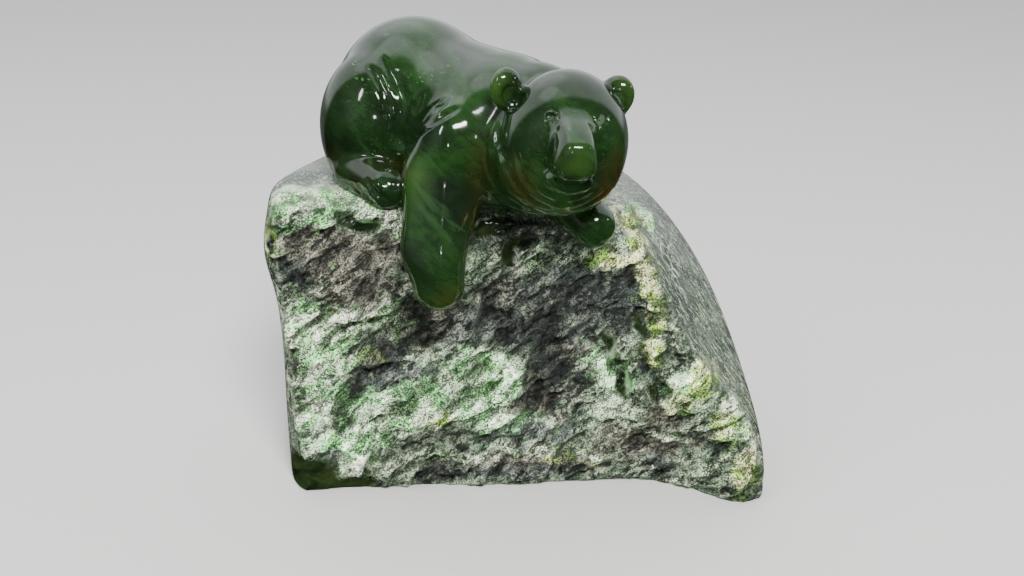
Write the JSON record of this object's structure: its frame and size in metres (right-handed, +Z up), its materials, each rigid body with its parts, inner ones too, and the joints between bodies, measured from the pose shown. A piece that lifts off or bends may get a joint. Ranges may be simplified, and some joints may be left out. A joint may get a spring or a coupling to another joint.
{
  "type": "jade bear sculpture",
  "caption": "Polished green jade bear lying over the edge of a rough jade boulder, its head turned to the front and an arm hanging down the broken face.",
  "frame": {"origin": "on the ground under the middle of the whole sculpture's bounding box", "axes": "+X along the rock's width, to the viewer's right; +Y away from the rock's broken front face; +Z up"},
  "size_m": [0.1678, 0.1326, 0.146],
  "materials": {
    "polished_nephrite": "polished to a gloss",
    "raw_nephrite": "rough broken front, worn and polished outside"
  },
  "bodies": {
    "root": {"bear": "polished_nephrite", "rock_base": "raw_nephrite"}
  },
  "joints": []
}
